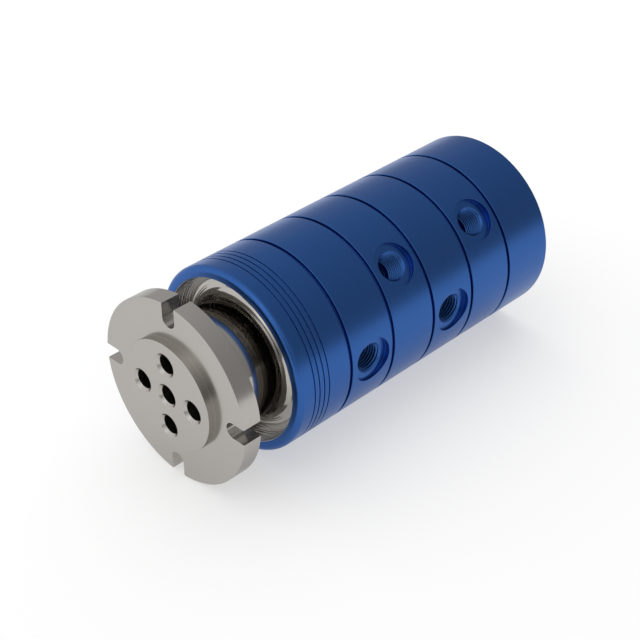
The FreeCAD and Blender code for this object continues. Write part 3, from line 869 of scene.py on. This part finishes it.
def dowel_hole():
    """The hole that the rear section and the rear cover share."""
    low, high = (Vector(corner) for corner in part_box("cover_dowel"))
    return cylinder(low.y, high.y, (high.x - low.x) / 2, (high.x + low.x) / 2)


def cover_shelf():
    """Where the rear cover's front sits: as far ahead of its O-ring as the circlip is behind."""
    low, high, _ = span("cover_o_ring")
    return low + high - span("cover_circlip")[0]


class UNION_OT_rear_housing(bpy.types.Operator):
    """Makes the rear section with the bolt seats and the arm's holes"""
    bl_idname = "rotary_union.rear_housing"
    bl_label = "Rear section"

    def execute(self, context):
        housing = settings().housing
        front, rear, radius = span("rear_housing")
        bearing, _, pocket = span("rear_bearing_outer_ring")
        clip_front, clip_rear, clip_floor = span("cover_circlip")
        clip_rear += COVER_CLIP_PLAY
        recess = span("rear_cover")[2] + COVER_PLAY
        shelf = cover_shelf()
        corners = section_face(front, radius) + [
            (rear, radius, REAR_EDGE), (rear, recess, RECESS_EDGE), (clip_rear, recess),
            (clip_rear, clip_floor), (clip_front, clip_floor), (clip_front, recess),
            (shelf, recess), (shelf, pocket), (bearing, pocket), (bearing, housing.bore)]
        seat = rear - HEAD_HOLE_DEPTH
        cutters = bolt_cutters(front - OVERSHOOT, seat + HOLE_OVERLAP, housing.bolt_hole)
        cutters += bolt_cutters(seat, rear + OVERSHOOT, HEAD_HOLE)
        cutters.append(dowel_hole())
        for turn in ARM_HOLE_TURNS:
            cutters.append(cylinder(rear - ARM_HOLE_DEPTH, rear + OVERSHOOT, ARM_HOLE,
                                    ARM_HOLE_CIRCLE, turn))
        piece = machined(turned("rear_section", corners), cutters, anodised_blue(),
                         ["rear_housing"])
        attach(piece, HOUSING)
        return {"FINISHED"}


class UNION_OT_rear_cover(bpy.types.Operator):
    """Makes the rear cover with the axial port and the quill"""
    bl_idname = "rotary_union.rear_cover"
    bl_label = "Rear cover"

    def execute(self, context):
        port = settings().port
        quill_front, rear, rim = span("rear_cover")
        clip_front = span("cover_circlip")[0]
        low, high, _ = span("cover_o_ring")
        ring_front = (low + high) / 2 - COVER_GROOVE_WIDTH / 2
        ring_rear = ring_front + COVER_GROOVE_WIDTH
        ring_floor = rim - COVER_GROOVE_DEPTH
        front = cover_shelf()
        hub_front = front - HUB_LENGTH
        thread_floor = hub_front + THREAD_STOP
        seal_front = quill_front + QUILL_TIP
        seal_rear = seal_front + QUILL_GROOVE_WIDTH
        corners = [
            (quill_front, port.drill), (quill_front, QUILL, QUILL_EDGE),
            (seal_front, QUILL), (seal_front, QUILL_GROOVE), (seal_rear, QUILL_GROOVE),
            (seal_rear, QUILL), (hub_front, QUILL), (hub_front, HUB), (front, HUB),
            (front, rim), (ring_front, rim), (ring_front, ring_floor),
            (ring_rear, ring_floor), (ring_rear, rim), (clip_front, rim, COVER_EDGE),
            (clip_front, BOSS, BOSS_FOOT), (rear, BOSS, BOSS_EDGE), (rear, port.countersink),
            (rear - port.countersink_depth, port.thread), (thread_floor, port.thread),
            (thread_floor, port.drill)]
        piece = machined(turned("cover", corners), [dowel_hole()], anodised_blue(),
                         ["rear_cover"])
        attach(piece, HOUSING)
        return {"FINISHED"}


def thread_cone(face):
    """The outline of a 45 degree cone that opens to the countersink at a port's face."""
    wide = settings().port.countersink
    ahead = wide / 4
    return [(face - wide, 0), (face + ahead, wide + ahead), (face + ahead, 0)]


class UNION_OT_port_threads(bpy.types.Operator):
    """Winds the threads of the four side ports and the axial port, chamfered at their mouths"""
    bl_idname = "rotary_union.port_threads"
    bl_label = "Port threads"

    def execute(self, context):
        port = settings().port
        past_face = port.pitch / 2
        height = THREAD_TURNS * port.pitch
        starts = []
        cones = []
        for along, turn in port_places():
            floor = port.spotface_floor + past_face - height
            starts.append((place(along, floor, turn), place(0, 1, turn)))
            cones.append(radial(along, turn, thread_cone(port.spotface_floor)))
        rear = span("rear_cover")[1]
        starts.append((AXIS * (rear + past_face - height), AXIS))
        cones.append(axial(thread_cone(rear)))
        mesh = bpy.data.meshes.new("port_threads")
        mesh.from_pydata([spot for spot, _ in starts], [], [])
        heading = mesh.attributes.new("outwards", "FLOAT_VECTOR", "POINT")
        for number, (_, outwards) in enumerate(starts):
            heading.data[number].vector = outwards
        piece = new_object("port_threads", mesh)
        run_tree(piece, thread_tree(), pitch=port.pitch, turns=THREAD_TURNS,
                 root_radius=port.thread + THREAD_OVERLAP, crest_radius=port.crest,
                 material=anodised_blue())
        carve(piece, cones)
        shade(piece)
        dress(piece, anodised_blue())
        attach(piece, HOUSING)
        return {"FINISHED"}


class UNION_OT_tie_bolts(bpy.types.Operator):
    """Makes the long socket screws that clamp the stack, with knurled heads"""
    bl_idname = "rotary_union.tie_bolts"
    bl_label = "Tie bolts"

    def execute(self, context):
        housing = settings().housing
        tip, rear, _ = span("tie_bolts")
        seat = rear - HEAD_HEIGHT
        bolt = turned("tie_bolt_set", [
            (tip, 0), (tip, SHANK, TIP_EDGE), (seat, SHANK), (seat, HEAD),
            (rear, HEAD, HEAD_EDGE), (rear, 0)], BOLT_SEGMENTS)
        for vertex in bolt.data.vertices:
            radius = math.hypot(vertex.co.x, vertex.co.z)
            if radius > KNURL_START and vertex.index % 2:
                vertex.co.x *= KNURL_SCALE
                vertex.co.z *= KNURL_SCALE
        carve(bolt, [cylinder(rear - SOCKET_DEPTH, rear + OVERSHOOT, SOCKET_CORNER,
                              segments=SOCKET_SIDES)])
        shade(bolt)
        material = slot_finish("screw_steel")
        run_tree(bolt, copies_tree(), count=housing.bolt_count, along=0.0,
                 circle_radius=housing.bolt_circle, first_angle=housing.bolt_angle,
                 material=material)
        dress(bolt, material)
        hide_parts("tie_bolts")
        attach(bolt, HOUSING)
        return {"FINISHED"}


# The rotor

class UNION_OT_rotor(bpy.types.Operator):
    """Makes the rotor with its flange, pilot, neck, collar, channels and passages"""
    bl_idname = "rotary_union.rotor"
    bl_label = "Rotor"

    def execute(self, context):
        rotor = settings().rotor
        ports = port_places()
        front, rear, _ = span("rotor")
        mouth = front + rotor.passage_mouth_depth
        bearing_front = span("front_bearing_outer_ring")[0]
        journal_front = span("rear_bearing_inner_ring")[0] - JOURNAL_RELIEF
        clip_front, clip_rear, _ = span("rotor_circlip")
        clip_rear += ROTOR_CLIP_PLAY
        clip_floor = rotor.journal - ROTOR_CLIP_DEPTH
        quill_front = span("rear_cover")[0]
        quill_floor = quill_front - QUILL_PLAY
        hub_floor = quill_front + HUB_PLACE - QUILL_PLAY
        corners = [
            (mouth, rotor.passage), (front, rotor.passage_mouth),
            (front, rotor.pilot, PILOT_EDGE), (0, rotor.pilot), (0, rotor.flange, FLANGE_EDGE),
            (rotor.flange_thickness, rotor.flange, FLANGE_EDGE),
            (rotor.flange_thickness, rotor.neck, NECK_FOOT),
            (rotor.neck_end, rotor.neck, rotor.neck_fillet), (rotor.neck_end, rotor.collar),
            (rotor.collar_rear, rotor.collar), (rotor.collar_rear, rotor.seal_land),
            (bearing_front, rotor.seal_land), (bearing_front, rotor.shaft)]
        for along, _ in ports:
            low = along - rotor.channel_width / 2
            high = along + rotor.channel_width / 2
            corners += [(low, rotor.shaft), (low, rotor.channel), (high, rotor.channel),
                        (high, rotor.shaft)]
        corners += [
            (journal_front, rotor.shaft), (journal_front, rotor.journal),
            (clip_front, rotor.journal), (clip_front, clip_floor), (clip_rear, clip_floor),
            (clip_rear, rotor.journal), (rear, rotor.journal, JOURNAL_EDGE),
            (rear, HUB_BORE), (hub_floor, HUB_BORE), (hub_floor, QUILL_BORE),
            (quill_floor, QUILL_BORE), (quill_floor, rotor.passage)]
        cutters = [slot_cutter(turn) for turn in circle(rotor.slot_count)]
        slope = (rotor.passage_mouth - rotor.passage) / rotor.passage_mouth_depth
        start = front - OVERSHOOT
        outside = rotor.shaft + OVERSHOOT
        for (along, _), turn in zip(ports, circle(len(ports))):
            end = along + PASSAGE_RUN_ON
            cutters.append(axial([
                (start, 0), (start, rotor.passage_mouth + slope * OVERSHOOT),
                (mouth, rotor.passage), (end, rotor.passage), (end, 0)],
                rotor.passage_circle, turn))
            cutters.append(radial(along, turn, [
                (rotor.passage_circle, 0), (rotor.passage_circle, rotor.cross_hole),
                (outside, rotor.cross_hole), (outside, 0)]))
        piece = machined(turned("turned_rotor", corners), cutters, turned_steel(),
                         ["rotor"])
        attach(piece, ROTOR)
        return {"FINISHED"}


# Bearings, seals and the other CAD nodes that stay

class UNION_OT_balls(bpy.types.Operator):
    """Makes the round balls of both bearings"""
    bl_idname = "rotary_union.balls"
    bl_label = "Bearing balls"

    def execute(self, context):
        material = slot_finish("bearing_steel")
        for end, count, ball in BALLS:
            node = end + "_bearing_balls"
            low, high, reach = span(node)
            shape = bmesh.new()
            bmesh.ops.create_icosphere(shape, subdivisions=3, radius=ball)
            piece = from_bmesh(end + "_balls", shape)
            run_tree(piece, copies_tree(), count=count, circle_radius=reach - ball,
                     first_angle=0.0, along=(low + high) / 2, material=material)
            piece.data.shade_smooth()
            dress(piece, material)
            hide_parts(node)
            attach(piece, end + "_ball_set")
        return {"FINISHED"}


class UNION_OT_inner_parts(bpy.types.Operator):
    """Gives the seals, rings, circlips and bearing parts their finishes"""
    bl_idname = "rotary_union.inner_parts"
    bl_label = "Seals, bearings and rings"

    def execute(self, context):
        for entry in frame["record"]["subparts"]:
            dress(frame["nodes"][entry["node"]], slot_finish(entry["material_slot"]))
        return {"FINISHED"}


# Studio

def area_lamp(name, spot, side, power):
    """A square lamp that shines at the part's middle and shows in no reflection."""
    data = bpy.data.lights.new(name, "AREA")
    data.shape = "SQUARE"
    data.size = side
    data.energy = power
    lamp = new_object(name, data)
    lamp.visible_glossy = False
    lamp.location = spot
    heading = Vector(LAMP_AIM) - Vector(spot)
    lamp.rotation_euler = heading.to_track_quat("-Z", "Y").to_euler()


def seen_rays(tree):
    """1 for rays from the camera and for reflected or transmitted ones, 0 for the rest."""
    path = add(tree, "ShaderNodeLightPath").outputs
    first = maths(tree, "ADD", path["Is Camera Ray"], path["Is Glossy Ray"])
    return maths(tree, "ADD", first, path["Is Transmission Ray"], use_clamp=True)


def plain_room():
    """A plain white room that is a little brighter at the front and the left, with a soft
    lamp above the front and a dark corner at the right."""
    studio = settings().studio
    world = bpy.data.worlds.new("plain room")
    world.use_nodes = True
    tree = world.node_tree
    heading = add(tree, "ShaderNodeTexCoord").outputs["Generated"]
    level = maths(tree, "ADD", likeness(tree, heading, studio.lean), studio.room)
    for side, change in ((studio.softbox_side, studio.softbox),
                         (studio.corner_side, studio.corner)):
        ahead = maths(tree, "MAXIMUM", likeness(tree, heading, side), 0.0)
        patch = maths(tree, "POWER", ahead, PATCH_POWER)
        level = maths(tree, "MULTIPLY_ADD", patch, change, level)
    walls = tree.nodes["Background"]
    walls.inputs["Color"].default_value = grey(1)
    tree.links.new(level, walls.inputs["Strength"])
    return world


def pale_floor():
    """A matt floor that keeps the shadow and reads as white where nothing shades it."""
    material = bpy.data.materials.new("pale floor")
    material.use_nodes = True
    tree = material.node_tree
    tree.nodes.clear()
    matt = add(tree, "ShaderNodeBsdfDiffuse", {"Color": grey(FLOOR_MATT)})
    shaded = add(tree, "ShaderNodeBsdfDiffuse", {"Color": grey(FLOOR_SHADED)})
    glow = add(tree, "ShaderNodeEmission", {"Color": grey(1), "Strength": FLOOR_GLOW})
    both = add(tree, "ShaderNodeAddShader", {0: shaded.outputs[0], 1: glow.outputs[0]})
    chosen = add(tree, "ShaderNodeMixShader", {0: seen_rays(tree), 1: matt.outputs[0],
                                               2: both.outputs[0]})
    add(tree, "ShaderNodeOutputMaterial", {"Surface": chosen.outputs[0]})
    return material


def photo_camera(studio):
    """The camera at the photograph's angle."""
    data = bpy.data.cameras.new("camera")
    data.lens = studio.lens
    data.sensor_width = 36
    data.clip_start = 0.01
    camera = new_object("camera", data)
    camera.location = studio.camera
    flat = math.cos(studio.elevation)
    heading = Vector((-math.sin(studio.azimuth) * flat, math.cos(studio.azimuth) * flat,
                      -math.sin(studio.elevation)))
    camera.rotation_euler = heading.to_track_quat("-Z", "Y").to_euler()
    return camera


class UNION_OT_studio(bpy.types.Operator):
    """Sets up the pale floor, the soft lamps and the camera"""
    bl_idname = "rotary_union.studio"
    bl_label = "Floor, lamps and camera"

    def execute(self, context):
        studio = settings().studio
        scene = bpy.context.scene
        level = CAD_BOX[0][2]
        reach = studio.floor
        mesh = bpy.data.meshes.new("floor")
        mesh.from_pydata([(-reach, -reach, level), (reach, -reach, level),
                          (reach, reach, level), (-reach, reach, level)], [], [(0, 1, 2, 3)])
        floor = new_object("floor", mesh)
        dress(floor, pale_floor())
        scene.world = plain_room()
        area_lamp("key", KEY_PLACE, KEY_SIDE, studio.key)
        area_lamp("fill", FILL_PLACE, FILL_SIDE, studio.fill)
        scene.camera = photo_camera(studio)
        scene.view_settings.view_transform = "Standard"
        return {"FINISHED"}


STEPS = (UNION_OT_nose, UNION_OT_port_rings, UNION_OT_rear_housing, UNION_OT_rear_cover,
         UNION_OT_port_threads, UNION_OT_tie_bolts, UNION_OT_rotor, UNION_OT_balls,
         UNION_OT_inner_parts, UNION_OT_studio)


class UNION_PT_panel(bpy.types.Panel):
    bl_label = "Rotary Union"
    bl_idname = "UNION_PT_panel"
    bl_space_type = "VIEW_3D"
    bl_region_type = "UI"
    bl_category = "Rotary Union"

    def draw(self, context):
        for group in UnionSettings.__annotations__:
            box = self.layout.box()
            box.label(text=group.capitalize())
            part = getattr(context.scene.rotary_union, group)
            for key in part.__annotations__:
                box.prop(part, key)
        for step in STEPS:
            self.layout.operator(step.bl_idname)


CLASSES = (HousingSettings, PortSettings, RotorSettings, FinishSettings, StudioSettings,
           UnionSettings, *STEPS, UNION_PT_panel)


def register():
    for item in CLASSES:
        bpy.utils.register_class(item)
    bpy.types.Scene.rotary_union = PointerProperty(type=UnionSettings)


def unregister():
    del bpy.types.Scene.rotary_union
    for item in reversed(CLASSES):
        bpy.utils.unregister_class(item)


def main():
    register()
    for step in STEPS:
        group, name = step.bl_idname.split(".")
        getattr(getattr(bpy.ops, group), name)()


if __name__ == "__main__":
    main()
